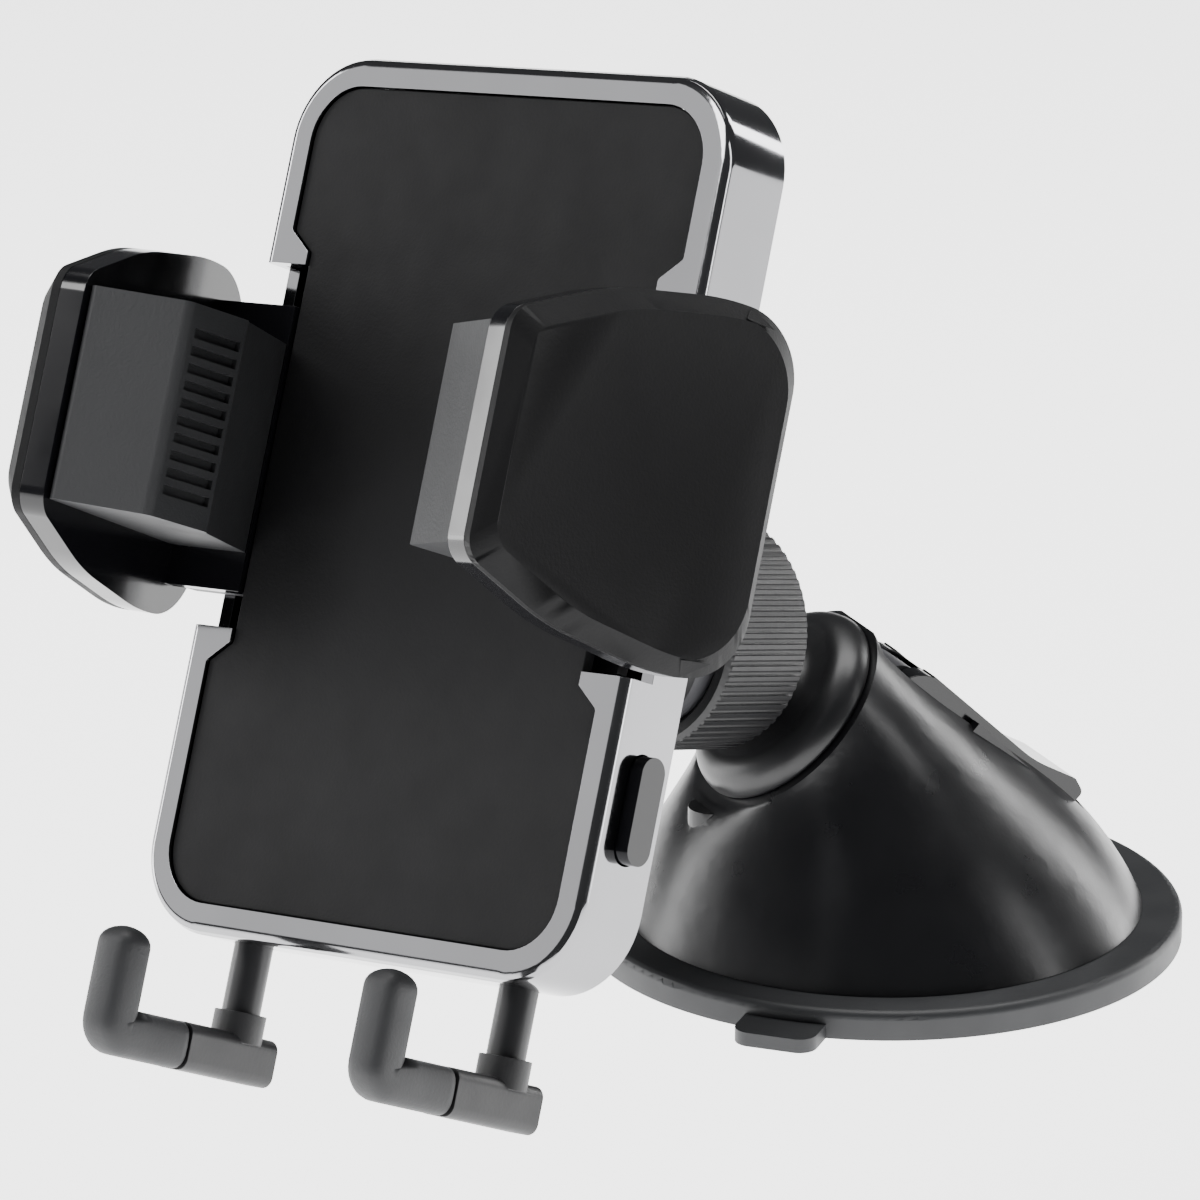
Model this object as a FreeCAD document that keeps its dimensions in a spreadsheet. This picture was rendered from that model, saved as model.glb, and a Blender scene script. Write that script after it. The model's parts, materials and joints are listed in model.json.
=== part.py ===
"""Car phone mount: a sprung two-arm phone cradle on a ball joint, carried by a domed suction base.

World frame: +Z up, origin at the centre of the suction face, ball neck towards -Y, lock lever at +Y.
Cradle frame: origin at the middle of the front panel's face, X across, Y up the panel, Z towards the phone.
Joint frame: origin at the ball's centre, Z along the lock nut's axis, towards the cradle.
"""
import FreeCAD, Part
import math
import os

import Sketcher

Vector, Rotation, Placement = FreeCAD.Vector, FreeCAD.Rotation, FreeCAD.Placement
X_AXIS, Y_AXIS, Z_AXIS = Vector(1, 0, 0), Vector(0, 1, 0), Vector(0, 0, 1)

SIZES = {
    # pose of the cradle on its ball, in degrees
    "cradle_turn": 22.3, "cradle_lean": 25.5, "cradle_roll": 8.2, "boss_tilt": 11.2,
    # ball joint
    "ball_y": -28.5, "ball_z": 47.8, "ball_radius": 10, "neck_radius": 4.8, "neck_tilt": 46,
    "ball_to_panel": 57.5, "ball_drop": 5.05,
    "nut_radius": 16.2, "nut_length": 17, "nut_behind_ball": 5.1, "rib_count": 68, "rib_radius": 0.45,
    "thread_radius": 13.4, "thread_clearance": 0.08, "cavity_radius": 11.75,
    # suction base
    "cup_radius": 42, "cup_thickness": 4, "housing_radius": 36.4, "housing_wall": 2.4,
    "mouth_radius": 16.2, "stem_radius": 4, "pin_radius": 1.5, "lever_pin_z": 35.9,
    "cam_radius": 4.9, "cam_offset": 1.85, "lever_width": 15.6, "lever_slope": 43.8, "surface_z": 42.74,
    # cradle
    "panel_width": 68.1, "panel_height": 110.8, "panel_corner": 7.6, "panel_thickness": 1.8,
    "bezel_width": 4.2, "frame_depth": 11.5, "frame_wall": 2, "slot_bottom": -18.8, "slot_top": 30.8,
    "slot_edge": 30.5, "layer_top": -2.1, "layer_thickness": 2.3, "chassis_top": -4.9,
    "chassis_thickness": 2,
    # arms
    "arm_middle": 5.6, "wing_back_x": 50, "wing_back_z": -6, "wing_length": 44.2, "wing_lean": 14.8,
    "cover_thickness": 3.4, "cover_chamfer": 2.2, "shell_thickness": 3.6, "pad_half_height": 14.2,
    "gear_module": 1, "gear_teeth": 14, "rack_clearance": 0.12, "arm_travel": 17,
    # feet
    "foot_x": 23.4, "foot_z": -8, "post_radius": 2.6, "foot_width": 6, "boot_skin": 1.1,
    "running_clearance": 0.06,
}

doc = FreeCAD.newDocument("PhoneMount")
sheet = doc.addObject("Spreadsheet::Sheet", "Sizes")
for row, (alias, value) in enumerate(SIZES.items(), start=1):
    sheet.set(f"A{row}", alias)
    sheet.set(f"B{row}", str(value))
    sheet.setAlias(f"B{row}", alias)
doc.recompute()

subparts = []


def size(name):
    """A driving size, read from its cell."""
    return float(sheet.get(name))


def value(expression):
    """The number that an expression over the sheet's cells gives now."""
    result = sheet.evalExpression(str(expression))
    return float(getattr(result, "Value", result))


def bind(feature, **expressions):
    for name, expression in expressions.items():
        feature.setExpression(name, str(expression))
    return feature


# ---------------------------------------------------------------- frames
BALL = Vector(0, size("ball_y"), size("ball_z"))
CRADLE_TURN = (Rotation(Z_AXIS, size("cradle_turn")) * Rotation(X_AXIS, 90 - size("cradle_lean"))
               * Rotation(Z_AXIS, size("cradle_roll")))
BALL_IN_CRADLE = Vector(0, -size("ball_drop"), -size("ball_to_panel"))
CRADLE = Placement(BALL - CRADLE_TURN.multVec(BALL_IN_CRADLE), CRADLE_TURN)
JOINT_IN_CRADLE = Placement(BALL_IN_CRADLE, Rotation(X_AXIS, size("boss_tilt")))
JOINT = CRADLE * JOINT_IN_CRADLE
NECK = Placement(BALL, Rotation(X_AXIS, size("neck_tilt")))
WORLD = Placement()


# ---------------------------------------------------------------- primitives and booleans
def named(part, label, frame=WORLD):
    """Make a feature a sub-part: its Label names its file, its Placement stands it in the world."""
    part.Label = label
    part.Placement = frame * part.Placement
    subparts.append(part)
    return part


def box(lengths, middle):
    """A box of the given X, Y, Z lengths about its middle; each is a number or an expression."""
    solid = doc.addObject("Part::Box", "Block")
    for side, axis, length, place in zip(("Length", "Width", "Height"), "xyz", lengths, middle):
        solid.setExpression(side, str(length))
        solid.setExpression(f"Placement.Base.{axis}", f"({place}) - ({length}) / 2")
    return solid


def cylinder(radius, height, base, axis=Z_AXIS):
    """A cylinder that starts at base and runs along axis."""
    solid = bind(doc.addObject("Part::Cylinder", "Rod"), Radius=radius, Height=height)
    solid.Placement = Placement(Vector(*map(value, base)), Rotation(Z_AXIS, axis))
    return solid


def cone(radius_low, radius_high, height, base, axis=Z_AXIS):
    solid = bind(doc.addObject("Part::Cone", "Taper"), Radius1=radius_low, Radius2=radius_high, Height=height)
    solid.Placement = Placement(Vector(*map(value, base)), Rotation(Z_AXIS, axis))
    return solid


def sphere(radius):
    return bind(doc.addObject("Part::Sphere", "Ball"), Radius=radius)


def fuse(*solids):
    joined = doc.addObject("Part::MultiFuse", "Joined")
    joined.Shapes = list(solids)
    return joined


def cut(base, *tools):
    removed = doc.addObject("Part::Cut", "Trimmed")
    removed.Base = base
    removed.Tool = tools[0] if len(tools) == 1 else fuse(*tools)
    return removed


def common(first, second):
    shared = doc.addObject("Part::MultiCommon", "Shared")
    shared.Shapes = [first, second]
    return shared


def group(*solids):
    """Separate solids of one kind in one sub-part."""
    together = doc.addObject("Part::Compound", "Set")
    together.Links = list(solids)
    return together


def round_edges(solid, radius, wanted):
    """Fillet the edges that wanted(edge) picks."""
    doc.recompute()
    rounded = doc.addObject("Part::Fillet", "Rounded")
    rounded.Base = solid
    rounded.Edges = [(number, radius, radius)
                     for number, edge in enumerate(solid.Shape.Edges, start=1) if wanted(edge)]
    return rounded


def along(axis):
    """Picks the straight edges that run along an axis."""
    def wanted(edge):
        return isinstance(edge.Curve, Part.Line) and abs(abs(edge.Curve.Direction.dot(axis)) - 1) < 1e-6
    return wanted


def screw(head_radius, shank_radius, length, place, axis):
    """A pan-head screw: place is the underside of its head, axis points along the shank."""
    shank = cylinder(shank_radius, length, (0, 0, 0))
    head = cylinder(head_radius, 1.4, (0, 0, -1.4))
    socket = box((head_radius * 1.2, 0.7, 0.8), (0, 0, -1.2))
    solid = cut(fuse(shank, head), socket)
    solid.Placement = Placement(Vector(*place), Rotation(Z_AXIS, axis))
    return solid


# ---------------------------------------------------------------- sketches and bodies
def rounded_path(corners):
    """Closed loop of lines and tangent arcs through corners given as (x, y, corner radius)."""
    entries, exits, arcs = [], [], []
    for index, (x, y, radius) in enumerate(corners):
        here = Vector(x, y, 0)
        before = Vector(*corners[index - 1][:2], 0) - here
        after = Vector(*corners[(index + 1) % len(corners)][:2], 0) - here
        half = before.getAngle(after) / 2
        if radius <= 0 or half > math.pi / 2 - 1e-6:
            entries.append(here)
            exits.append(here)
            continue
        start = here + before.normalize() * (radius / math.tan(half))
        end = here + after.normalize() * (radius / math.tan(half))
        middle = here + (before + after).normalize() * (radius / math.sin(half) - radius)
        entries.append(start)
        exits.append(end)
        arcs.append(Part.Arc(start, middle, end))
    lines = [Part.LineSegment(exits[index - 1], entries[index]) for index in range(len(corners))]
    return [line for line in lines if line.length() > 1e-7] + arcs


def origin_plane(body, role):
    return next(item for item in body.Origin.OriginFeatures if item.Role == role)


def sketch(body, plane, curves, offset=WORLD):
    drawn = body.newObject("Sketcher::SketchObject", "Outline")
    drawn.AttachmentSupport = [(origin_plane(body, plane), "")]
    drawn.MapMode = "FlatFace"
    drawn.AttachmentOffset = offset
    drawn.addGeometry(curves, False)
    return drawn


def circle(body, plane, radius, centre=(0, 0), offset=WORLD):
    """A sketched circle whose radius follows the sheet."""
    drawn = sketch(body, plane, [Part.Circle(Vector(*centre, 0), Z_AXIS, value(radius))], offset)
    drawn.addConstraint(Sketcher.Constraint("Radius", 0, value(radius)))
    drawn.setExpression("Constraints[0]", str(radius))
    return drawn


def new_body(label, frame=WORLD):
    body = doc.addObject("PartDesign::Body", label)
    body.Label = label
    body.Placement = frame
    subparts.append(body)
    return body


def pad(body, profile, length, reverse=False, middle=False):
    feature = body.newObject("PartDesign::Pad", "Pad")
    feature.Profile = profile
    feature.Reversed = reverse
    feature.Midplane = middle
    return bind(feature, Length=length)


def pocket(body, profile, length, reverse=False, middle=False):
    feature = body.newObject("PartDesign::Pocket", "Pocket")
    feature.Profile = profile
    feature.Reversed = reverse
    feature.Midplane = middle
    return bind(feature, Length=length)


def revolve(body, profile, kind="Revolution"):
    feature = body.newObject(f"PartDesign::{kind}", kind)
    feature.Profile = profile
    feature.ReferenceAxis = (profile, ["V_Axis"])
    feature.Angle = 360
    return feature


def loft(body, sections, kind="AdditiveLoft", ruled=False):
    feature = body.newObject(f"PartDesign::{kind}", kind)
    feature.Profile = sections[0]
    feature.Sections = sections[1:]
    feature.Ruled = ruled
    return feature


def rectangle(width, height, corner, y_middle=0):
    across, up = width / 2, height / 2
    return rounded_path([(across, y_middle + up, corner), (-across, y_middle + up, corner),
                         (-across, y_middle - up, corner), (across, y_middle - up, corner)])


def lift(z):
    return Placement(Vector(0, 0, z), Rotation())


# ---------------------------------------------------------------- suction base
def build_cup():
    """Soft suction disc with its pull tab and the boss that the stem is moulded into."""
    disc = cylinder("Sizes.cup_radius", "Sizes.cup_thickness", (0, 0, 0))
    disc = round_edges(disc, 1.2, lambda edge: isinstance(edge.Curve, Part.Circle)
                       and edge.CenterOfMass.z > 1)
    boss = cone(9, 5.5, 3, (0, 0, "Sizes.cup_thickness"))
    tab = box((11.5, 10, 2), (0, "-Sizes.cup_radius - 1", 1))
    tab = round_edges(tab, 2.5, along(Z_AXIS))
    tab.Placement = Placement(Vector(), Rotation(Z_AXIS, 46))
    foot = cylinder(8, 1.8, (0, 0, 1.6))
    shank = cylinder("Sizes.stem_radius", 6, (0, 0, 3))
    named(cut(fuse(disc, boss, tab), foot, shank), "suction_cup")

    pin = (0, 0, size("lever_pin_z"))
    column = cylinder("Sizes.stem_radius", "Sizes.lever_pin_z - 7", (0, 0, 3))
    eye_block = box((8, 8, 8.9), (0, 0, "Sizes.lever_pin_z - 4.45"))
    eye = cylinder(4, 8, (-4, 0, pin[2]), X_AXIS)
    bore = cylinder("Sizes.pin_radius", 9, (-4.5, 0, pin[2]), X_AXIS)
    named(cut(fuse(cylinder(8, 1.8, (0, 0, 1.6)), column, eye_block, eye), bore), "cup_stem")
    named(cylinder("Sizes.pin_radius", 15.2, (-7.6, 0, pin[2]), X_AXIS), "lever_pin")


# (centre y, centre z, radius, tilt) of the housing's round sections, from rim to mouth
def housing_sections(body, inset):
    mouth = BALL + NECK.Rotation.multVec(Vector(0, 0, -19 - (2.6 if inset else 0)))
    rows = [(0, size("cup_thickness") + 0.05, size("housing_radius"), 0),
            (-2.5, 13, 31.6, 4.6),
            (-8.1, 23.75, 22.8, 14.1),
            (mouth.y, mouth.z, size("mouth_radius"), size("neck_tilt"))]
    return [circle(body, "XY_Plane", radius - inset,
                   offset=Placement(Vector(0, y, z), Rotation(X_AXIS, tilt)))
            for y, z, radius, tilt in rows]


def slope_point(along_slope, out):
    """A point on the housing's back, in the YZ plane, measured down its slope and out from it."""
    slope = math.radians(size("lever_slope"))
    return (along_slope * math.cos(slope) + out * math.sin(slope),
            size("surface_z") - along_slope * math.sin(slope) + out * math.cos(slope))


HOUSING_BOSSES = ((23, 11.6, 14.5), (-23, 11.6, 14.5), (0, -26, 22))


def build_housing():
    body = new_body("dome_housing")
    loft(body, housing_sections(body, 0))
    doc.recompute()
    loft(body, housing_sections(body, size("housing_wall")), "SubtractiveLoft")
    trough = [(*slope_point(a, b), 0) for a, b in ((14.5, -7.8), (14.5, -1), (40, -1.2), (40, -7.8))]
    pad(body, sketch(body, "YZ_Plane", rounded_path(trough)), 20, middle=True)
    hub_y, front = size("cam_offset") * 0.74, size("cam_radius") + 0.6
    channel = [(hub_y - front, 27, 0), (hub_y - front, 52, 0), (*slope_point(10, 14), 0),
               (*slope_point(38.2, 9), 0), (*slope_point(38.2, -6), 0), (*slope_point(9, -6), 0),
               (hub_y + front, 27, 0)]
    pocket(body, sketch(body, "YZ_Plane", rounded_path(channel)), "Sizes.lever_width + 0.8", middle=True)
    doc.recompute()
    bore = circle(body, "XY_Plane", 6.1, offset=Placement(BALL, NECK.Rotation) * lift(-17))
    pocket(body, bore, 9)
    for x, y, top in HOUSING_BOSSES:
        pad(body, circle(body, "XY_Plane", 3.4, (x, y), lift(6.6)), top - 6.6)
        pocket(body, circle(body, "XY_Plane", 1.25, (x, y), lift(6)), 6.5, reverse=True)


def build_base_inside():
    plate = cylinder("Sizes.housing_radius - 5", 2.4, (0, 0, "Sizes.cup_thickness + 0.1"))
    window = cylinder(9.5, 4, (0, 0, 3.5))
    holes = [cylinder(1.35, 12, (x, y, 3)) for x, y, _ in HOUSING_BOSSES]
    counterbores = [cylinder(2.7, 1.7, (x, y, 4)) for x, y, _ in HOUSING_BOSSES]
    named(cut(plate, window, *holes, *counterbores), "base_plate")
    named(group(*[screw(2.5, 1.2, 5.5, (x, y, 5.7), Z_AXIS) for x, y, _ in HOUSING_BOSSES]), "base_screws")

    seat = box((23, 8, 3.2), (0, -2, 28))
    slot = box(("2 * Sizes.stem_radius + 0.6", 8.8, 4), (0, 0, 28))
    legs = [box((2, 8, 20.4), (side * 10.5, -2, 16.75)) for side in (-1, 1)]
    named(cut(fuse(seat, *legs), slot), "cam_bridge")


def build_lever():
    """Cam lever: a fork with eccentric cheeks about the pin, and a handle that lies in the housing's back."""
    body = new_body("lock_lever")
    slope = math.radians(size("lever_slope"))
    reach = size("cam_offset")
    hub = (reach * math.cos(slope), size("lever_pin_z") - reach * math.sin(slope))
    pad(body, circle(body, "YZ_Plane", "Sizes.cam_radius", hub), "Sizes.lever_width", middle=True)
    start = slope_point(0, -size("cam_radius"))
    outline = [(*slope_point(5.4, 0.05), 0), (*slope_point(27, 0.3), 20), (*slope_point(34.2, 2.2), 1),
               (*slope_point(36.6, 1.4), 1), (*slope_point(36.2, -4.8), 1.5), (*slope_point(14, -5.2), 0),
               (*slope_point(5.4, -7), 0)]
    pad(body, sketch(body, "YZ_Plane", rounded_path(outline)), "Sizes.lever_width", middle=True)
    gap = [(start[0] - 9, start[1] - 14, 0), (start[0] - 9, start[1] + 14, 0),
           (hub[0] + 4.4, start[1] + 14, 0), (hub[0] + 4.4, start[1] - 14, 0)]
    pocket(body, sketch(body, "YZ_Plane", rounded_path(gap)), "2 * Sizes.stem_radius + 0.5", middle=True)
    pin = circle(body, "YZ_Plane", "Sizes.pin_radius + Sizes.running_clearance", (0, size("lever_pin_z")))
    pocket(body, pin, 30, middle=True)


def build_cup_spring():
    """Moulded bellows spring round the stem: a zigzag sleeve that pushes the cup away from the bridge."""
    waves, low, high, wall = 8, 7.6, 25.8, 0.6
    edge = [(5.5 if index % 2 else 4.95, low + (high - low) * index / (2 * waves)) for index in range(2 * waves + 1)]
    corners = [(r, z, 0) for r, z in edge] + [(r - wall, z, 0) for r, z in reversed(edge)]
    body = new_body("cup_spring")
    revolve(body, sketch(body, "XZ_Plane", rounded_path(corners)))


def build_gear_spring():
    """Flat spiral spring round the gear's hub, drawn as half circles about two alternating centres."""
    step, strip, first, half_turns = 0.45, 0.25, 3.35, 6
    middle = size("arm_middle")

    def half_circles(offset):
        arcs = []
        for index in range(half_turns):
            centre, radius, way = (index % 2) * step, first + offset + index * step, 1 - 2 * (index % 2)
            arcs.append(Part.Arc(Vector(centre + way * radius, middle, 0),
                                 Vector(centre, middle + way * radius, 0),
                                 Vector(centre - way * radius, middle, 0)))
        return arcs

    inner, outer = half_circles(0), half_circles(strip)
    ends = [Part.LineSegment(inner[0].StartPoint, outer[0].StartPoint),
            Part.LineSegment(inner[-1].EndPoint, outer[-1].EndPoint)]
    body = new_body("gear_spring", CRADLE)
    pad(body, sketch(body, "XY_Plane", inner + outer + ends, lift(-7.2)), 1.8, reverse=True)


def build_ball_stud():
    body = new_body("ball_stud", NECK)
    ball, neck = size("ball_radius"), size("neck_radius")
    neck_z = -math.sqrt(ball ** 2 - neck ** 2)
    curves = [
        Part.Arc(Vector(neck, neck_z, 0), Vector(ball, 0, 0), Vector(0, ball, 0)),
        Part.LineSegment(Vector(0, ball, 0), Vector(0, -25.2, 0)),
        Part.LineSegment(Vector(0, -25.2, 0), Vector(6, -25.2, 0)),
        Part.LineSegment(Vector(6, -25.2, 0), Vector(6, -18.95, 0)),
        Part.LineSegment(Vector(6, -18.95, 0), Vector(15, -18.95, 0)),
        Part.LineSegment(Vector(15, -18.95, 0), Vector(15, -18.4, 0)),
        Part.Arc(Vector(15, -18.4, 0), Vector(13.75, -15.8, 0), Vector(10.6, -14.75, 0)),
        Part.LineSegment(Vector(10.6, -14.75, 0), Vector(8.6, -14.45, 0)),
        Part.Arc(Vector(8.6, -14.45, 0), Vector(5.9, -13.0, 0), Vector(neck, -10.4, 0)),
        Part.LineSegment(Vector(neck, -10.4, 0), Vector(neck, neck_z, 0)),
    ]
    revolve(body, sketch(body, "XZ_Plane", curves))

    hexagon = [(8 * math.cos(math.radians(60 * k)), 8 * math.sin(math.radians(60 * k)), 0.6) for k in range(6)]
    nut = new_body("stud_nut", NECK)
    pad(nut, sketch(nut, "XY_Plane", rounded_path(hexagon), lift(-24.7)), 3)
    pocket(nut, circle(nut, "XY_Plane", 6.02, offset=lift(-20)), 6)


# ---------------------------------------------------------------- ball joint
def build_joint():
    for label, inside, outside, width in (("ball_liner", 10.05, 10.75, 4), ("pressure_pad", 10.82, 11.6, 3.5)):
        shell = cut(sphere(outside), sphere(inside))
        named(common(shell, cylinder(width, 6, (0, 0, 7))), label, JOINT)

    ring = cylinder(12.7, 6.2, (0, 0, -3.3))
    slits = [box((1, 8, 4), (0, 0, 0)) for _ in range(4)]
    for index, slit in enumerate(slits):
        slit.Placement = Placement(Vector(), Rotation(Z_AXIS, 90 * index)) * Placement(Vector(9.5, -0.5, 0.2), Rotation())
        bind(slit, Length=4, Width=1, Height=4)
    bevel = cut(cylinder(16, 2, (0, 0, -3.5)), cone(10.6, 12.9, 2, (0, 0, -3.5)))
    named(cut(ring, sphere("Sizes.ball_radius + 0.05"), bevel, *slits), "ball_collet", JOINT)

    barrel = cylinder("Sizes.thread_radius", 12.2, (0, 0, 3.3))
    hollow = cylinder("Sizes.cavity_radius", 8.6, (0, 0, 3.2))
    pilots = [cylinder(1.25, 4, (*(9 * Vector(math.cos(a), math.sin(a), 0))[:2], 12.6))
              for a in (math.pi / 2, math.pi * 7 / 6, math.pi * 11 / 6)]
    named(cut(barrel, hollow, *pilots), "ball_socket", JOINT)
    screws = [screw(2.3, 1.2, 4.4, (9 * math.cos(a), 9 * math.sin(a), 18.05), -Z_AXIS)
              for a in (math.pi / 2, math.pi * 7 / 6, math.pi * 11 / 6)]
    named(group(*screws), "socket_screws", JOINT)

    body = new_body("lock_nut", JOINT)
    outer, rear = size("nut_radius"), -size("nut_behind_ball")
    front, bore = rear + size("nut_length"), size("thread_radius") + size("thread_clearance")
    profile = [(12.2, rear, 0), (outer - 1.2, rear, 0), (outer, rear + 1.2, 0), (outer, front - 0.8, 0),
               (outer - 0.8, front, 0), (14.2, front, 0), (bore, front - 0.9, 0), (bore, -2.6, 0),
               (12.95, -2.6, 0), (9.6, -3.9, 0)]
    revolve(body, sketch(body, "XZ_Plane", rounded_path(profile)))
    doc.recompute()
    groove = circle(body, "XY_Plane", "Sizes.rib_radius", (outer + 0.05, 0), lift(rear + 0.6))
    first = pocket(body, groove, "Sizes.nut_length - 1.2", reverse=True)
    doc.recompute()
    ribs = body.newObject("PartDesign::PolarPattern", "Ribs")
    ribs.Originals = [first]
    ribs.Axis = (groove, ["N_Axis"])
    bind(ribs, Occurrences="Sizes.rib_count")
    ribs.Angle = 360
    ribs.Axis = (origin_axis(body, "Z_Axis"), [""])
    body.Tip = ribs


def origin_axis(body, role):
    return next(item for item in body.Origin.OriginFeatures if item.Role == role)


# ---------------------------------------------------------------- cradle
def panel_outline(grow):
    """The front panel's outline, with the two side notches that the arms slide in."""
    half_width, half_height = size("panel_width") / 2 + grow, size("panel_height") / 2 + grow
    notch, corner = size("slot_edge") + grow, size("panel_corner") + grow
    low, high = size("slot_bottom"), size("slot_top")
    right = [(half_width, half_height, corner), (half_width, high + 4.6, 0.6), (notch, high + 1.8, 0.6),
             (notch, low - 1.8, 0.6), (half_width, low - 4.6, 0.6), (half_width, -half_height, corner)]
    left = [(-x, y, radius) for x, y, radius in reversed(right)]
    return rounded_path(right + left)


def build_frame():
    body = new_body("bezel_frame", CRADLE)
    outer_width = size("panel_width") + 2 * size("bezel_width")
    outer_height = size("panel_height") + 2 * size("bezel_width")
    outer_corner = size("panel_corner") + size("bezel_width")
    pad(body, sketch(body, "XY_Plane", rectangle(outer_width, outer_height, outer_corner), lift(-1.1)),
        "Sizes.frame_depth - 1.1", reverse=True)
    rim = [sketch(body, "XY_Plane", rectangle(outer_width - shrink, outer_height - shrink,
                                              outer_corner - shrink / 2), lift(z))
           for z, shrink in ((-1.1, 0), (-0.1, 0.8), (0.5, 3.2))]
    loft(body, rim, ruled=True)
    doc.recompute()
    pocket(body, sketch(body, "XY_Plane", panel_outline(0.12), lift(0.6)), "Sizes.frame_depth + 2")
    wall = 2 * size("frame_wall")
    cavity = rectangle(outer_width - wall, outer_height - wall, outer_corner - size("frame_wall"))
    pocket(body, sketch(body, "XY_Plane", cavity, lift(-2)), "Sizes.frame_depth")
    slot_middle = (size("slot_top") + size("slot_bottom")) / 2
    slot = rectangle(outer_width + 4, size("slot_top") - size("slot_bottom"), 0, slot_middle)
    pocket(body, sketch(body, "XY_Plane", slot, lift(0.6)), 5.4)
    button = rectangle(14.5, 5, 2.4, -6)
    turn = Placement(Vector(-35, 0, 30), Rotation())
    pocket(body, sketch(body, "YZ_Plane", button, turn), 20, reverse=True)
    holes = [Part.Circle(Vector(side * size("foot_x"), size("foot_z"), 0), Z_AXIS, size("post_radius") + 0.25)
             for side in (-1, 1)]
    pocket(body, sketch(body, "XZ_Plane", holes, lift(50)), 20, reverse=True)


def build_panel():
    body = new_body("front_panel", CRADLE)
    pad(body, sketch(body, "XY_Plane", panel_outline(0)), "Sizes.panel_thickness", reverse=True)


COVER_SCREWS = ((-29, 47), (29, 47), (-9, -51), (9, -51))


def build_rear_cover():
    body = new_body("rear_cover", CRADLE)
    width, height = size("panel_width") + 3.6, size("panel_height") + 3.6
    rows = ((-11.6, 0, 10.5), (-15.5, 3.5, 12), (-18.5, 12, 14), (-20, 24, 16))
    for kind, inset in (("AdditiveLoft", 0), ("SubtractiveLoft", 2)):
        sections = [sketch(body, "XY_Plane", rectangle(width - shrink - 2 * inset, height - shrink - 2 * inset,
                                                       corner - inset), lift(z + inset * (row > 0)))
                    for row, (z, shrink, corner) in enumerate(rows)]
        loft(body, sections, kind, ruled=True)
        doc.recompute()
        cone_rows = ((15.6, 14.2), (23, 16.2), (43, 28)) if inset == 0 else ((18, 12), (24, 14), (44, 23.4))
        cone_sections = [circle(body, "XY_Plane", radius, offset=JOINT_IN_CRADLE * lift(w))
                         for w, radius in cone_rows]
        loft(body, cone_sections, kind, ruled=True)
        doc.recompute()
    open_front = rectangle(width + 8, height + 8, 0)
    pocket(body, sketch(body, "XY_Plane", open_front, lift(20)), 31.6)
    for angle in (math.pi / 2, math.pi * 7 / 6, math.pi * 11 / 6):
        hole = circle(body, "XY_Plane", 1.4, (9 * math.cos(angle), 9 * math.sin(angle)),
                      JOINT_IN_CRADLE * lift(22))
        pocket(body, hole, 10)
    for x, y in COVER_SCREWS:
        pocket(body, circle(body, "XY_Plane", 1.4, (x, y), lift(-11)), 20)
        pocket(body, circle(body, "XY_Plane", 2.7, (x, y), lift(-15.2)), 20)


def build_chassis():
    """Inner plate: carries the slides, the gear, the pawl and the guides for the feet's posts."""
    top, thick = "Sizes.chassis_top", "Sizes.chassis_thickness"
    level = f"{top} - {thick} / 2"
    plate = box((64, 72, thick), (0, 18, level))
    leg = box((34, 40, thick), (0, -37.5, level))
    bridge = box((56, 7, thick), (0, -54, level))
    parts = [plate, leg, bridge]
    for x, y in COVER_SCREWS:
        parts.append(cylinder(3, 6, (x, y, -12.9)))
    for x, y in ((-28, 50), (28, 50), (-12, -53), (12, -53)):
        parts.append(cylinder(2.2, 3.2, (x, y, -5)))
    for side in (-1, 1):
        parts.append(box((8, 7, 6), (f"{side} * Sizes.foot_x", -54, -8)))
    parts.append(box((1.4, 6, 5), (29.2, -35, -7.4)))
    parts.append(box((14, 6, thick), (23.4, -35, level)))
    parts.append(cylinder(1.5, 2.6, (8, -17, -5)))
    tools = [cylinder("3 + Sizes.running_clearance", 4, (0, "Sizes.arm_middle", -8))]
    for x, y in COVER_SCREWS:
        tools.append(cylinder(1.25, 6, (x, y, -13)))
    for side in (-1, 1):
        tools.append(cylinder("Sizes.post_radius + Sizes.running_clearance", 12,
                              (side * size("foot_x"), -60, "Sizes.foot_z"), Y_AXIS))
    named(cut(fuse(*parts), *tools), "chassis", CRADLE)
    screws = [screw(2.5, 1.2, 5, (x, y, -15.25), Z_AXIS) for x, y in COVER_SCREWS]
    named(group(*screws), "cover_screws", CRADLE)


# ---------------------------------------------------------------- arms
def involute_gear(teeth, module, thin):
    """Closed outline of a spur gear with 20 degree involute flanks, thinned a little for backlash."""
    pitch, pressure = teeth * module / 2, math.radians(20)
    base, tip, root = pitch * math.cos(pressure), pitch + 0.8 * module, pitch - 1.15 * module
    half = math.pi / (2 * teeth) - thin / (2 * pitch) + math.tan(pressure) - pressure
    start = max(base, root)
    flank = []
    for step in range(5):
        radius = start + (tip - start) * step / 4
        roll = math.acos(min(1, base / radius))
        flank.append((radius, half - (math.tan(roll) - roll)))
    corners = []
    for tooth in range(teeth):
        middle = 2 * math.pi * tooth / teeth
        side = [(root, middle - half)] + [(radius, middle - angle) for radius, angle in flank]
        side += [(radius, middle + angle) for radius, angle in reversed(flank)] + [(root, middle + half)]
        corners += [(radius * math.cos(angle), radius * math.sin(angle), 0) for radius, angle in side]
    return corners


def rack_teeth(first, last, pitch_line, direction, offset):
    """Corner points of a rack's teeth, from first to last along X; direction is the side they point to."""
    module, thin = size("gear_module"), size("rack_clearance")
    step, slant = math.pi * module, math.tan(math.radians(20))
    quarter = step / 4 - thin / 2
    tip, root = 0.8 * module, -1.15 * module
    corners = []
    count = int((last - first) / step)
    index_low = math.ceil((first - offset) / step)
    for index in range(index_low, index_low + count):
        middle = offset + index * step
        corners += [(middle + sign * (quarter - height * slant), pitch_line + direction * height, 0)
                    for sign, height in ((-1, root), (-1, tip), (1, tip), (1, root))]
    return corners


ARM_SCREW_X = 41.5


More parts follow.
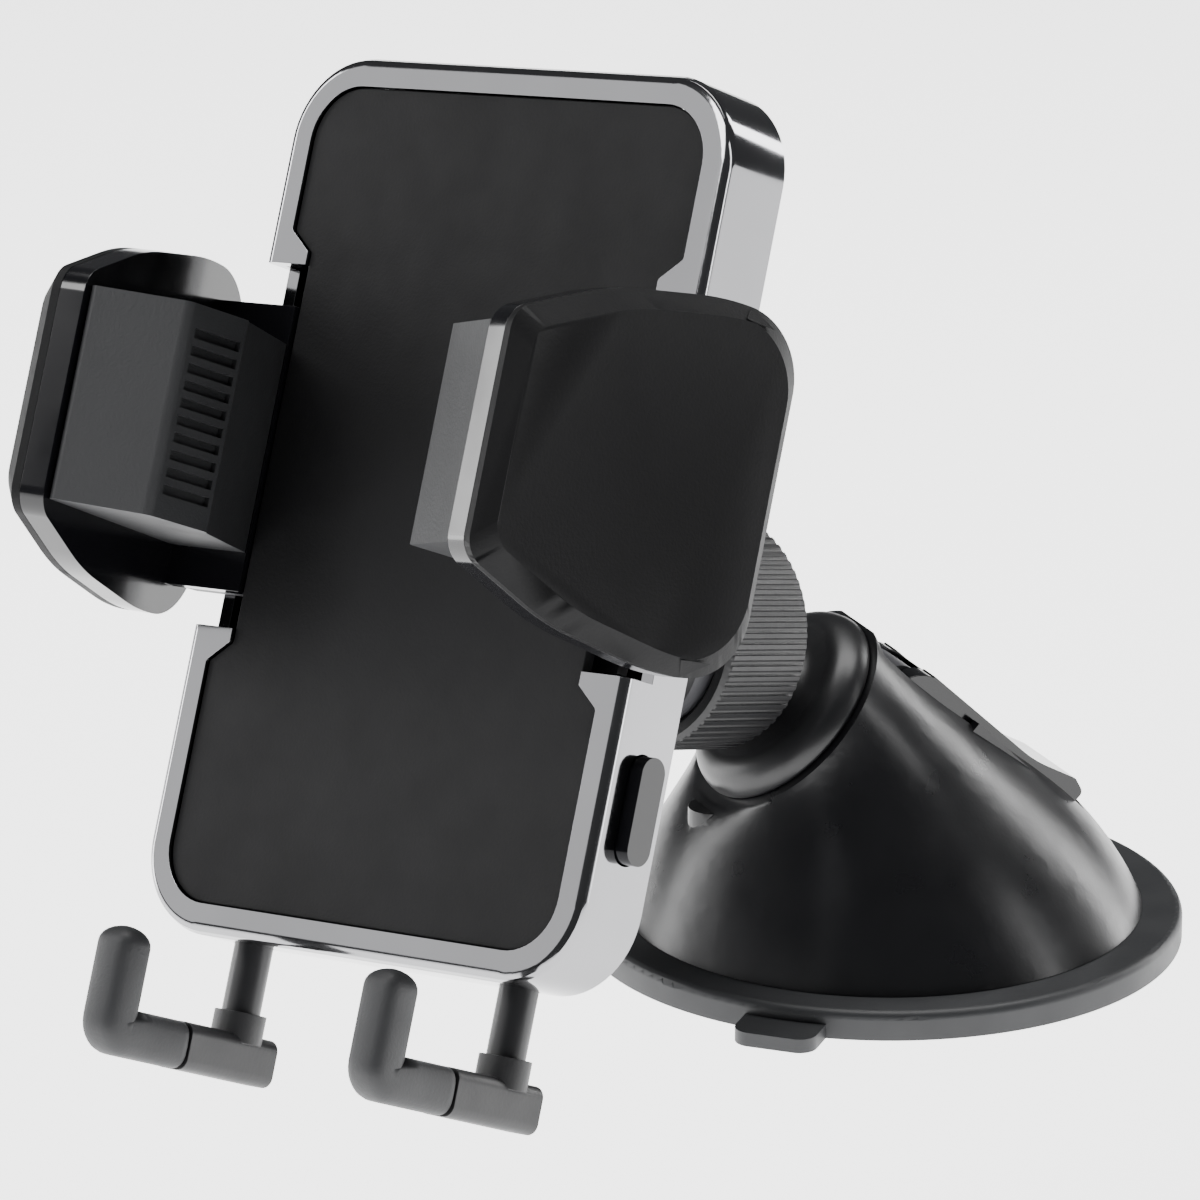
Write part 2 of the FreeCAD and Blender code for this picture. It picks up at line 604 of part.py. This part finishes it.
def build_slides():
    """Two rack plates that face each other across the drive gear."""
    middle, pitch = size("arm_middle"), size("gear_teeth") * size("gear_module") / 2
    step = math.pi * size("gear_module")
    reach, shoulder, outside = 25.5, 27.5, 44.9
    for side, label in ((1, "slide_right"), (-1, "slide_left")):
        line = middle - side * pitch
        back = line - side * 9.2
        teeth = rack_teeth(-reach, reach - 2, line, side, step / 2) if side > 0 else \
            rack_teeth(-reach + 2, reach, line, side, step / 2)
        root = line - side * 1.15
        far, near = -side * reach, side * shoulder
        ends = sorted((far, near))
        low, high = middle - 19.5, middle + 19.5
        if side > 0:
            corners = [(ends[0], root, 0)] + teeth + [(shoulder, root, 0), (shoulder, high, 2), (outside, high, 2),
                                                      (outside, low, 2), (shoulder, low, 2), (shoulder, back, 0),
                                                      (ends[0], back, 0)]
        else:
            corners = [(-shoulder, root, 0)] + teeth + [(ends[1], root, 0), (ends[1], back, 0),
                                                        (-shoulder, back, 0), (-shoulder, high, 2),
                                                        (-outside, high, 2), (-outside, low, 2), (-shoulder, low, 2)]
        body = new_body(label, CRADLE)
        pad(body, sketch(body, "XY_Plane", rounded_path(corners), lift(size("layer_top"))),
            "Sizes.layer_thickness", reverse=True)
        doc.recompute()
        for row in (-1, 1):
            hole = circle(body, "XY_Plane", 1.3, (side * ARM_SCREW_X, middle + row * 13))
            pocket(body, hole, 8)
        if side > 0:
            notches = []
            for index in range(13):
                x = 2 + 1.5 * index
                notches += rounded_path([(x, back - 0.2, 0), (x, back + 0.8, 0), (x + 1.2, back - 0.2, 0)])
            pocket(body, sketch(body, "XY_Plane", notches, lift(0)), 8)
    gear = new_body("drive_gear", CRADLE)
    corners = involute_gear(int(size("gear_teeth")), size("gear_module"), size("rack_clearance"))
    turn = Placement(Vector(0, middle, size("layer_top")), Rotation(Z_AXIS, 90))
    pad(gear, sketch(gear, "XY_Plane", rounded_path(corners), turn), "Sizes.layer_thickness", reverse=True)
    pad(gear, circle(gear, "XY_Plane", 3, (0, middle), lift(-3)), 8.6, reverse=True)
    assert abs(step * size("gear_teeth") - 2 * math.pi * pitch) < 1e-6


def wing_frame(side, out):
    """Sketch offset on the YZ plane: the wing's plane, out millimetres from its edge line."""
    lean = math.radians(size("wing_lean"))
    x = side * (size("wing_back_x") + out * math.cos(lean))
    z = size("wing_back_z") + out * math.sin(lean)
    return Placement(Vector(0, z, x), Rotation(X_AXIS, -side * size("wing_lean")))


def wing_outline(shrink=0):
    """Rounded trapezoid, as (Y, distance along the wing) corners with their radii."""
    middle, length = size("arm_middle"), size("wing_length")
    half = [(15.6, length, 4), (21.6, length * 0.68, 34), (24.2, length * 0.3, 40), (23.4, 0, 9.5)]
    right = [(middle + across - shrink, up - math.copysign(shrink, up - 1), radius) for across, up, radius in half]
    left = [(2 * middle - x, up, radius) for x, up, radius in reversed(right)]
    return rounded_path(right + left)


def wing_point(along_wing, out):
    """(X, Z) of a point on the right wing, in the cradle frame."""
    lean = math.radians(size("wing_lean"))
    return (size("wing_back_x") - along_wing * math.sin(lean) + out * math.cos(lean),
            size("wing_back_z") + along_wing * math.cos(lean) + out * math.sin(lean))


PAD_RIDGE, PAD_FRONT, RIB_FOOT, PAD_FOOT = (22.6, 28.7), (34.6, 35.0), (22.6, 17.5), (30.9, 0.6)


def pad_section(side, skin):
    """Section of the grip in the XZ plane; skin is how far the rubber stands off the core."""
    base, foot = (-3.3, 0.4) if skin else (-3.7, PAD_FOOT[1])
    points = [(PAD_RIDGE[0] + skin, PAD_RIDGE[1] - skin * 0.8, 1.6), (PAD_FRONT[0] + skin * 0.2, PAD_FRONT[1] - skin, 0.8),
              (*wing_point(42.4 - skin, base), 0), (*wing_point(9, base), 0), (43.4, foot, 0),
              (PAD_FOOT[0] + skin, foot, 0.5), (23.6 + skin, 16.4, 1.2),
              (RIB_FOOT[0] + skin, RIB_FOOT[1], 0)]
    return rounded_path([(side * x, z, radius) for x, z, radius in points])


def build_arm(side, name):
    cover = new_body(f"arm_cover_{name}", CRADLE)
    wall = size("cover_thickness") - size("cover_chamfer")
    pad(cover, sketch(cover, "YZ_Plane", wing_outline(), wing_frame(side, 0)), wall, reverse=side < 0)
    bevel = [sketch(cover, "YZ_Plane", wing_outline(shrink), wing_frame(side, out))
             for shrink, out in ((0, wall), (size("cover_chamfer"), size("cover_thickness")))]
    loft(cover, bevel, ruled=True)

    shell = new_body(f"arm_shell_{name}", CRADLE)
    pad(shell, sketch(shell, "YZ_Plane", wing_outline(), wing_frame(side, -size("shell_thickness") - 0.05)),
        "Sizes.shell_thickness", reverse=side < 0)
    centre = lift(-size("arm_middle"))
    pad(shell, sketch(shell, "XZ_Plane", pad_section(side, 1.6), centre), "2 * Sizes.pad_half_height - 3.2", middle=True)
    root = rounded_path([(side * x, z, 0) for x, z in ((30.9, -2.05), (30.9, 0.5), (44.6, 0.5), (48.2, -2.05))])
    pad(shell, sketch(shell, "XZ_Plane", root, centre), 39, middle=True)
    doc.recompute()
    for row in (-1, 1):
        hole = circle(shell, "XY_Plane", 1.25, (side * ARM_SCREW_X, size("arm_middle") + row * 13), lift(-3))
        pocket(shell, hole, 4, reverse=True)

    grip = new_body(f"arm_pad_{name}", CRADLE)
    pad(grip, sketch(grip, "XZ_Plane", pad_section(side, 0), centre), "2 * Sizes.pad_half_height", middle=True)
    pocket(grip, sketch(grip, "XZ_Plane", pad_section(side, 1.6), centre),
           "2 * Sizes.pad_half_height - 3.2", middle=True)
    doc.recompute()
    ribs, pitch = 11, (2 * size("pad_half_height") - 3) / 11
    for index in range(ribs - 1):
        y = size("arm_middle") - size("pad_half_height") + 1.5 + pitch * (index + 1)
        groove = rounded_path([(side * x, z, 0) for x, z in
                               ((PAD_RIDGE[0] - 0.5, 27), (PAD_RIDGE[0] + 0.8, 27), (PAD_RIDGE[0] + 0.8, 18.2),
                                (PAD_RIDGE[0] - 0.5, 18.2))])
        pocket(grip, sketch(grip, "XZ_Plane", groove, lift(-y)), 1.3, middle=True)
    screws = [screw(2.2, 1.2, 4.6, (side * ARM_SCREW_X, size("arm_middle") + row * 13, -4.45), Z_AXIS)
              for row in (-1, 1)]
    named(group(*screws), f"arm_screws_{name}", CRADLE)


# ---------------------------------------------------------------- release button and pawl
def build_release():
    cap = round_edges(box((4.8, 14.1, 4.6), (37.9, -35, -6)), 2.2, along(X_AXIS))
    flange = box((1.2, 10, 6), (36.3 - 0.8, -35, -5.4))
    rod = box((24.4, 2.4, 2), (23.8, -35, -3.4))
    named(fuse(cap, flange, rod), "release_button", CRADLE)
    leaf = new_body("button_spring", CRADLE)
    bow = [(30, -38, 0), (30.3, -38, 0), (33.4, -35, 0.4), (30.3, -32, 0), (30, -32, 0), (33, -35, 0.2)]
    pad(leaf, sketch(leaf, "XY_Plane", rounded_path(bow), lift(-7)), 2, reverse=True)

    body = new_body("release_pawl", CRADLE)
    edge = size("arm_middle") - size("gear_teeth") * size("gear_module") / 2 - 9.2
    outline = [(5.2, -14.5, 1.5), (9.5, -14.2, 0), (18.4, edge - 2.6, 0), (19.2, edge - 0.15, 0),
               (20.6, edge - 1.6, 0.2), (20.6, edge - 4.0, 0.6), (11.6, -18.6, 2), (11.4, -36.6, 0.8),
               (8.8, -36.6, 0.8), (6.4, -19.5, 2)]
    pad(body, sketch(body, "XY_Plane", rounded_path(outline), lift(-2.5)), 2, reverse=True)
    doc.recompute()
    pocket(body, circle(body, "XY_Plane", "1.5 + Sizes.running_clearance", (8, -17), lift(-1)), 6)


# ---------------------------------------------------------------- feet
def build_feet():
    foot_x, foot_z = size("foot_x"), size("foot_z")
    bar = box((55, 4, 3.4), (0, -43, -8.9))
    sockets = [box((7, 4, 6), (f"{side} * Sizes.foot_x", -43, -8)) for side in (-1, 1)]
    slim = box((60, 6, 3), (0, -43, -5.5))
    bores = [cylinder("Sizes.post_radius", 6, (side * foot_x, -46, foot_z), Y_AXIS) for side in (-1, 1)]
    named(cut(fuse(bar, *sockets), slim, *bores), "foot_carriage", CRADLE)
    for side, name in ((1, "right"), (-1, "left")):
        middle = f"{side} * Sizes.foot_x"
        rod = cylinder("Sizes.post_radius", 33.8, (side * foot_x, -75, foot_z), Y_AXIS)
        bead = cut(cylinder("Sizes.post_radius", 2, (side * foot_x, -43.2, foot_z), Y_AXIS),
                   box((9, 3, 3), (middle, -42.2, "Sizes.foot_z + 2.4")))
        named(fuse(rod, bead), f"foot_post_{name}", CRADLE)
        collar = cylinder(3.5, 4, (side * foot_x, -72.6, foot_z), Y_AXIS)
        arm = round_edges(box(("Sizes.foot_width", 6.4, 17), (middle, -74.6, -4.9)), 1.6, along(Z_AXIS))
        tongue = box(("Sizes.foot_width - 2.4", 4, 14.6), (middle, -74.6, 10.3))
        prong = box(("Sizes.foot_width - 2.4", 14.4, 3.4), (middle, -69.4, 16.1))
        bore = cylinder("Sizes.post_radius + Sizes.running_clearance", 8, (side * foot_x, -75.06, foot_z), Y_AXIS)
        named(cut(fuse(collar, arm, tongue, prong), bore), f"foot_{name}", CRADLE)
        sleeve = round_edges(box(("Sizes.foot_width", 6.4, 16), (middle, -74.6, 11.65)), 1.6, along(Z_AXIS))
        finger = round_edges(box(("Sizes.foot_width", 17, 6.2), (middle, -69.3, 16.55)), 2, along(Y_AXIS))
        core = box(("Sizes.foot_width - 2.4", 4, 14.6), (middle, -74.6, 10.3))
        core_up = box(("Sizes.foot_width - 2.4", 14.4, 3.4), (middle, -69.4, 16.1))
        named(cut(fuse(sleeve, finger), core, core_up), f"foot_boot_{name}", CRADLE)


# ---------------------------------------------------------------- assembly
build_cup()
build_housing()
build_base_inside()
build_lever()
build_cup_spring()
build_ball_stud()
build_joint()
build_frame()
build_panel()
build_rear_cover()
build_chassis()
build_slides()
build_gear_spring()
for arm_side, arm_name in ((1, "right"), (-1, "left")):
    build_arm(arm_side, arm_name)
build_release()
build_feet()
doc.recompute()

failed = [item.Label for item in doc.Objects if {"Invalid", "Error"} & set(item.State)]
if failed:
    raise SystemExit(f"failed features: {failed}")
os.makedirs("parts", exist_ok=True)
for part in subparts:
    shape = part.Shape
    if shape.isNull() or not shape.isValid() or not shape.Solids:
        raise SystemExit(f"bad shape: {part.Label}")
    shape.exportStep(f"parts/{part.Label}.step")
    print(f"{part.Label:20s} solids {len(shape.Solids)} volume {shape.Volume:9.1f}")
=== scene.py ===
"""Car phone mount on a suction base: finishes, softened edges, studio light and camera."""

import json
import math

import bmesh
import bpy
from mathutils import Matrix, Vector


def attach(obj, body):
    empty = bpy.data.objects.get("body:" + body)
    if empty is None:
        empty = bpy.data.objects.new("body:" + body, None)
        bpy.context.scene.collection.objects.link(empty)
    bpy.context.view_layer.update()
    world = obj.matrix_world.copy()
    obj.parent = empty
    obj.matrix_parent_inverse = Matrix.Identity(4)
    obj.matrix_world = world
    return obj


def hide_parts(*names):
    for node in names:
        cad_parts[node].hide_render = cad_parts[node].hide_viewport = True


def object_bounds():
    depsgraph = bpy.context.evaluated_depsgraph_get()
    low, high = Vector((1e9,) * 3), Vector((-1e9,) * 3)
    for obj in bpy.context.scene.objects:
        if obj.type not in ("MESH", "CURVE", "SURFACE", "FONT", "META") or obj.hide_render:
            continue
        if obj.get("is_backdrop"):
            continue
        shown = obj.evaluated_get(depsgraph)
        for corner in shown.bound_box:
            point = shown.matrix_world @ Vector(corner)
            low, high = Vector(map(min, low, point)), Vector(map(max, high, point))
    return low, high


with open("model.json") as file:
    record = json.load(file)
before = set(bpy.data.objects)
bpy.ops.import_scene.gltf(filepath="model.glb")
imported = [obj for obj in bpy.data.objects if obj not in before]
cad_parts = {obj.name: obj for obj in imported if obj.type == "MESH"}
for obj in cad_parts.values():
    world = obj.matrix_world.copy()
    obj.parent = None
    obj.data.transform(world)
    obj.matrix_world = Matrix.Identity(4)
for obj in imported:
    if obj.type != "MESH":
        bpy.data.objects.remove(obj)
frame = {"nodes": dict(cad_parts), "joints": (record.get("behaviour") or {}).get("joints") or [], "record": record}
nodes, record = frame["nodes"], frame["record"]
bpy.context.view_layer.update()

MM = 0.001
BODY_OF = {node: body for body, members in record["behaviour"]["bodies"].items() for node in members}
SLOT_OF = {entry["node"]: entry["material_slot"] for entry in record["subparts"]}

# cradle frame: X across the panel, Y up it, Z towards the phone
UP_FROM_POSTS, OUT_FROM_POSTS = 0.072, 0.008
JOINTS = {joint["name"]: joint for joint in frame["joints"]}
ACROSS = Vector(JOINTS["arm_right_slide"]["axis"])
UP_PANEL = Vector(JOINTS["foot_right_swing"]["axis"])
OUT = ACROSS.cross(UP_PANEL)
POSTS = [Vector(JOINTS[f"foot_{side}_swing"]["pos_m"]) for side in ("right", "left")]
PANEL = (POSTS[0] + POSTS[1]) / 2 + UP_PANEL * UP_FROM_POSTS + OUT * OUT_FROM_POSTS
CRADLE = Matrix.Translation(PANEL) @ Matrix((ACROSS, UP_PANEL, OUT)).transposed().to_4x4()


# ---------------------------------------------------------------- materials
NOISE_LOW, NOISE_HIGH = 0.3, 0.7
TONE_SCALE, TONE_DETAIL = 45.0, 3.0
GLOSS_SCALE, GLOSS_DETAIL = 160.0, 5.0
GRAIN_DETAIL, GRAIN_DEPTH = 2.0, 0.0001
SWELL_SCALE, SWELL_DETAIL, SWELL_DEPTH = 30.0, 1.0, 0.0004


def noise(tree, coordinates, scale, detail):
    """Noise over the piece's own coordinates."""
    texture = tree.nodes.new("ShaderNodeTexNoise")
    texture.inputs["Scale"].default_value = scale
    texture.inputs["Detail"].default_value = detail
    tree.links.new(coordinates, texture.inputs["Vector"])
    return texture.outputs["Fac"]


def remap(tree, source, low, high):
    """The middle of a noise's range, stretched over low to high."""
    span = tree.nodes.new("ShaderNodeMapRange")
    span.inputs["From Min"].default_value = NOISE_LOW
    span.inputs["From Max"].default_value = NOISE_HIGH
    span.inputs["To Min"].default_value = low
    span.inputs["To Max"].default_value = high
    tree.links.new(source, span.inputs["Value"])
    return span.outputs["Result"]


def relief(tree, height, strength, depth, under=None):
    """Relief from a height, laid over another relief if one is given."""
    bump = tree.nodes.new("ShaderNodeBump")
    bump.inputs["Strength"].default_value = strength
    bump.inputs["Distance"].default_value = depth
    tree.links.new(height, bump.inputs["Height"])
    if under is not None:
        tree.links.new(under, bump.inputs["Normal"])
    return bump.outputs["Normal"]


def finish(name, tone, rough, metal=0.0, spread=0.12, grain=0.0, grain_scale=2600.0, ior=1.5,
           rough_spread=0.05, wave=0.0):
    """Moulded or plated finish: uneven tone and gloss, and a fine grain in relief."""
    material = bpy.data.materials.new(name)
    material.use_nodes = True
    tree = material.node_tree
    shader = tree.nodes["Principled BSDF"]
    shader.inputs["Metallic"].default_value = metal
    shader.inputs["IOR"].default_value = ior
    coordinates = tree.nodes.new("ShaderNodeTexCoord").outputs["Object"]

    mix = tree.nodes.new("ShaderNodeMix")
    mix.data_type = "RGBA"
    mix.inputs["A"].default_value = (*[channel * (1 - spread) for channel in tone], 1)
    mix.inputs["B"].default_value = (*[channel * (1 + spread) for channel in tone], 1)
    cloud = noise(tree, coordinates, TONE_SCALE, TONE_DETAIL)
    tree.links.new(remap(tree, cloud, 0, 1), mix.inputs["Factor"])
    tree.links.new(mix.outputs["Result"], shader.inputs["Base Color"])

    gloss = noise(tree, coordinates, GLOSS_SCALE, GLOSS_DETAIL)
    tree.links.new(remap(tree, gloss, rough - rough_spread, rough + rough_spread), shader.inputs["Roughness"])

    swell = None
    if wave:
        swell = relief(tree, noise(tree, coordinates, SWELL_SCALE, SWELL_DETAIL), wave, SWELL_DEPTH)
    fine = noise(tree, coordinates, grain_scale, GRAIN_DETAIL)
    tree.links.new(relief(tree, fine, grain, GRAIN_DEPTH, swell), shader.inputs["Normal"])
    return material


FINISHES = {
    "soft_black": finish("soft_black", (0.0055, 0.0055, 0.006), 0.58, grain=0.35, grain_scale=2400, ior=1.25),
    "cup_rubber": finish("cup_rubber", (0.022, 0.023, 0.025), 0.5, grain=0.12, grain_scale=1500),
    "gloss_black": finish("gloss_black", (0.004, 0.004, 0.005), 0.14, rough_spread=0.03, wave=0.05),
    "housing_black": finish("housing_black", (0.005, 0.005, 0.006), 0.30, rough_spread=0.03, grain=0.10,
                            grain_scale=1800),
    "satin_black": finish("satin_black", (0.008, 0.008, 0.009), 0.36, grain=0.10),
    "matte_black": finish("matte_black", (0.009, 0.009, 0.010), 0.46, grain=0.25, grain_scale=1900),
    "pad_grey": finish("pad_grey", (0.017, 0.0175, 0.019), 0.56, grain=0.45, grain_scale=2300),
    "dark_chrome": finish("dark_chrome", (0.30, 0.30, 0.31), 0.10, metal=1.0, spread=0.04,
                          rough_spread=0.02),
    "nylon": finish("nylon", (0.62, 0.62, 0.59), 0.42, grain=0.08),
    "inner_grey": finish("inner_grey", (0.05, 0.05, 0.055), 0.5, grain=0.2),
    "steel": finish("steel", (0.52, 0.52, 0.54), 0.3, metal=1.0, grain=0.05),
    "spring_steel": finish("spring_steel", (0.40, 0.40, 0.42), 0.24, metal=1.0, grain=0.03),
}


# ---------------------------------------------------------------- softened pieces
MERGE_DISTANCE = 2e-6
FLAT_ANGLE = math.radians(0.4)
BEVEL_ANGLE = math.radians(33.0)
BEVEL_SEGMENTS = 3
LARGE_FACE_WEIGHT = 90
SHARP_ANGLE = math.radians(30)

# bevel width of each piece that gets softened edges, in millimetres
SOFTENED = {
    "bezel_frame": 0.35, "front_panel": 0.25, "rear_cover": 0.5,
    "dome_housing": 0.35, "lock_lever": 0.6, "lock_nut": 0.15, "ball_stud": 0.3, "suction_cup": 0.4,
    "arm_shell_right": 0.7, "arm_shell_left": 0.7, "arm_cover_right": 0.8, "arm_cover_left": 0.8,
    "foot_right": 0.5, "foot_left": 0.5, "foot_post_right": 0.2, "foot_post_left": 0.2,
    "release_button": 0.7,
}


def soften(node, width):
    """The node again with its sharp edges rounded; it rides on the same body and stands for the node."""
    mesh = nodes[node].data.copy()
    shape = bmesh.new()
    shape.from_mesh(mesh)
    bmesh.ops.remove_doubles(shape, verts=shape.verts, dist=MERGE_DISTANCE)
    bmesh.ops.dissolve_limit(shape, angle_limit=FLAT_ANGLE, verts=shape.verts, edges=shape.edges)
    shape.to_mesh(mesh)
    shape.free()
    piece = bpy.data.objects.new(f"{node}_soft", mesh)
    bpy.context.scene.collection.objects.link(piece)
    mesh.materials.clear()
    mesh.materials.append(FINISHES[SLOT_OF[node]])
    mesh.shade_smooth()
    bevel = piece.modifiers.new("edges", "BEVEL")
    bevel.width = width * MM
    bevel.segments = BEVEL_SEGMENTS
    bevel.limit_method = "ANGLE"
    bevel.angle_limit = BEVEL_ANGLE
    bevel.harden_normals = True
    bevel.miter_outer = "MITER_ARC"
    even = piece.modifiers.new("even", "WEIGHTED_NORMAL")
    even.weight = LARGE_FACE_WEIGHT
    even.keep_sharp = True
    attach(piece, BODY_OF[node])
    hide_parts(node)


# ---------------------------------------------------------------- rubber boots
RING_POINTS = 24
SQUARISH = 0.62  # under 1 flattens the sides of the bar's round section

# sizes of one boot in the cradle frame, in millimetres
BOOT_X = 23.4
BOOT_LOW, BOOT_TOP = -74.6, -60.9
BOOT_FRONT = 16.5
MOUTH, MOUTH_INSET = 3.7, 0.3
BAR_STATIONS = (4.2, 5.0, 8.0, 11.0)
HALF_WIDTH = 3.0
BAR_HALF_HEIGHT, FINGER_HALF_DEPTH = 3.2, 3.1
BEND_RADIUS = 1.6
BEND_STEPS, BEND_STEP_ANGLE = 9, 9.5
TIP_SHARE = 0.8  # of the finger's height, where its round tip starts
FINGER_STATIONS = (0.2, 0.45, 0.7, TIP_SHARE)
TIP_STEPS, TIP_STEP_ANGLE = 6, 15
TIP_SMALLEST = 0.08


def add_mesh(name, shape, material, body):
    """A new piece from a bmesh drawn in the cradle frame, in millimetres."""
    shape.transform(CRADLE @ Matrix.Scale(MM, 4))
    bmesh.ops.recalc_face_normals(shape, faces=shape.faces)
    mesh = bpy.data.meshes.new(name)
    shape.to_mesh(mesh)
    shape.free()
    mesh.materials.append(FINISHES[material])
    mesh.shade_smooth()
    piece = bpy.data.objects.new(name, mesh)
    bpy.context.scene.collection.objects.link(piece)
    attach(piece, body)
    return piece


def tube(shape, path, sections):
    """Skin a rounded bar along path; each section is (half width, half height) about its point."""
    rings = []
    for index, (x, y, z) in enumerate(path):
        before, after = path[max(index - 1, 0)], path[min(index + 1, len(path) - 1)]
        run = Vector((0, after[1] - before[1], after[2] - before[2])).normalized()
        side = Vector((0, -run.z, run.y))
        half_width, half_height = sections[index]
        ring = []
        for step in range(RING_POINTS):
            turn = 2 * math.pi * step / RING_POINTS
            c, s = math.cos(turn), math.sin(turn)
            u = math.copysign(abs(c) ** SQUARISH, c) * half_width
            v = math.copysign(abs(s) ** SQUARISH, s) * half_height
            ring.append(shape.verts.new(Vector((x + u, y, z)) + side * v))
        rings.append(ring)
    for low, high in zip(rings, rings[1:]):
        for step in range(RING_POINTS):
            follow = (step + 1) % RING_POINTS
            shape.faces.new((low[step], low[follow], high[follow], high[step]))
    shape.faces.new(rings[0])
    shape.faces.new(rings[-1])


def boot(side, name):
    """Rubber boot: a rounded hook that covers the foot's front and its upright finger."""
    x, bend_start = side * BOOT_X, BOOT_FRONT - BEND_RADIUS
    path = [(x, BOOT_LOW, z) for z in (MOUTH, *BAR_STATIONS, bend_start)]
    sections = [(HALF_WIDTH - MOUTH_INSET, BAR_HALF_HEIGHT - MOUTH_INSET)]
    sections += [(HALF_WIDTH, BAR_HALF_HEIGHT)] * (len(path) - 1)
    for step in range(1, BEND_STEPS + 1):
        turn = math.radians(BEND_STEP_ANGLE * step)
        path.append((x, BOOT_LOW + BEND_RADIUS * (1 - math.cos(turn)), bend_start + BEND_RADIUS * math.sin(turn)))
        thinner = (BAR_HALF_HEIGHT - FINGER_HALF_DEPTH) * step / BEND_STEPS
        sections.append((HALF_WIDTH, BAR_HALF_HEIGHT - thinner))
    start = path[-1][1]
    rise = BOOT_TOP - start
    for share in FINGER_STATIONS:
        path.append((x, start + rise * share, BOOT_FRONT))
        sections.append((HALF_WIDTH, FINGER_HALF_DEPTH))
    for step in range(1, TIP_STEPS + 1):
        turn = math.radians(TIP_STEP_ANGLE * step)
        narrow = max(math.cos(turn), TIP_SMALLEST)
        path.append((x, start + rise * (TIP_SHARE + (1 - TIP_SHARE) * math.sin(turn)), BOOT_FRONT))
        sections.append((HALF_WIDTH * narrow, FINGER_HALF_DEPTH * narrow))
    shape = bmesh.new()
    tube(shape, path, sections)
    piece = add_mesh(f"boot_{name}", shape, "pad_grey", f"foot_{name}")
    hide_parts(f"foot_boot_{name}")


boot(1, "right")
boot(-1, "left")

for node, width in SOFTENED.items():
    soften(node, width)
for node, holder in nodes.items():
    if node not in SOFTENED and not node.startswith("foot_boot"):
        holder.data.materials.clear()
        holder.data.materials.append(FINISHES[SLOT_OF[node]])
        holder.data.shade_smooth()
        holder.data.set_sharp_from_angle(angle=SHARP_ANGLE)


# ---------------------------------------------------------------- studio
TARGET = Vector((0.0, -0.035, 0.055))
CAMERA_AT = Vector((875.2, -432.6, 386.0)) * MM
LENS, SENSOR, CLIP_END = 225.0, 36.0, 20.0
AZIMUTH, ELEVATION = math.radians(66.0), math.radians(19.1)
TOWARDS = Vector((math.sin(AZIMUTH) * math.cos(ELEVATION), -math.cos(AZIMUTH) * math.cos(ELEVATION),
                  math.sin(ELEVATION)))
RIGHT = Vector((math.cos(AZIMUTH), math.sin(AZIMUTH), 0))
UPWARD = TOWARDS.cross(RIGHT)

# metres across, up and towards the camera from the target; width and height in metres; power in watts
SOFTBOXES = {
    "key": (-0.75, 0.75, 0.35, 0.4, 0.5, 7.0),
    "top": (0.05, 1.1, -0.25, 1.0, 0.45, 12.0),
    "rim": (0.85, 0.45, -0.6, 0.2, 0.8, 6.0),
    "side": (1.0, 0.2, 0.25, 0.08, 0.8, 1.8),
    "card": (-0.95, 0.33, 0.15, 0.62, 0.62, 1.7),
    "left": (-1.0, 0.25, -0.35, 0.22, 0.8, 5.0),
}
SKY_TONE, SKY_STRENGTH = (0.9, 0.92, 0.95, 1), 0.10
FLOOR_DROP, FLOOR_REACH = 0.07, 6
FLOOR_TONE, FLOOR_ROUGH, FLOOR_SPREAD, FLOOR_GLOW = (0.96, 0.96, 0.96), 0.8, 0.01, 2.5


def add_camera():
    """A long lens at the photograph's viewing angle."""
    camera = bpy.data.objects.new("camera", bpy.data.cameras.new("camera"))
    camera.data.lens = LENS
    camera.data.sensor_width = SENSOR
    camera.data.clip_end = CLIP_END
    camera.matrix_world = (Matrix.Translation(CAMERA_AT)
                           @ Matrix((RIGHT, UPWARD, TOWARDS)).transposed().to_4x4())
    bpy.context.scene.collection.objects.link(camera)
    bpy.context.scene.camera = camera


def softbox(name, across, upward, towards, width, height, power):
    """A rectangular light that looks at the object, placed by its direction in the camera's terms."""
    light = bpy.data.lights.new(name, "AREA")
    light.shape = "RECTANGLE"
    light.size = width
    light.size_y = height
    light.energy = power
    lamp = bpy.data.objects.new(name, light)
    offset = RIGHT * across + Vector((0, 0, 1)) * upward + TOWARDS * towards
    lamp.location = TARGET + offset
    lamp.rotation_euler = offset.to_track_quat("Z", "Y").to_euler()
    bpy.context.scene.collection.objects.link(lamp)
    lamp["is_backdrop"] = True


def add_sky():
    """A faint even light from all round."""
    world = bpy.data.worlds.new("studio")
    world.use_nodes = True
    background = world.node_tree.nodes["Background"]
    background.inputs["Color"].default_value = SKY_TONE
    background.inputs["Strength"].default_value = SKY_STRENGTH
    bpy.context.scene.world = world


def add_floor():
    """A plain pale floor below the object, glowing a little so that it stays pale."""
    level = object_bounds()[0].z - FLOOR_DROP
    corners = [(x * FLOOR_REACH, y * FLOOR_REACH, level) for x, y in ((-1, -1), (1, -1), (1, 1), (-1, 1))]
    mesh = bpy.data.meshes.new("floor")
    mesh.from_pydata(corners, [], [(0, 1, 2, 3)])
    paper = finish("floor", FLOOR_TONE, FLOOR_ROUGH, spread=FLOOR_SPREAD)
    shader = paper.node_tree.nodes["Principled BSDF"]
    shader.inputs["Emission Color"].default_value = (1, 1, 1, 1)
    shader.inputs["Emission Strength"].default_value = FLOOR_GLOW
    mesh.materials.append(paper)
    floor = bpy.data.objects.new("floor", mesh)
    bpy.context.scene.collection.objects.link(floor)
    floor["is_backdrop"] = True


add_camera()
for name, place in SOFTBOXES.items():
    softbox(name, *place)
add_sky()
add_floor()
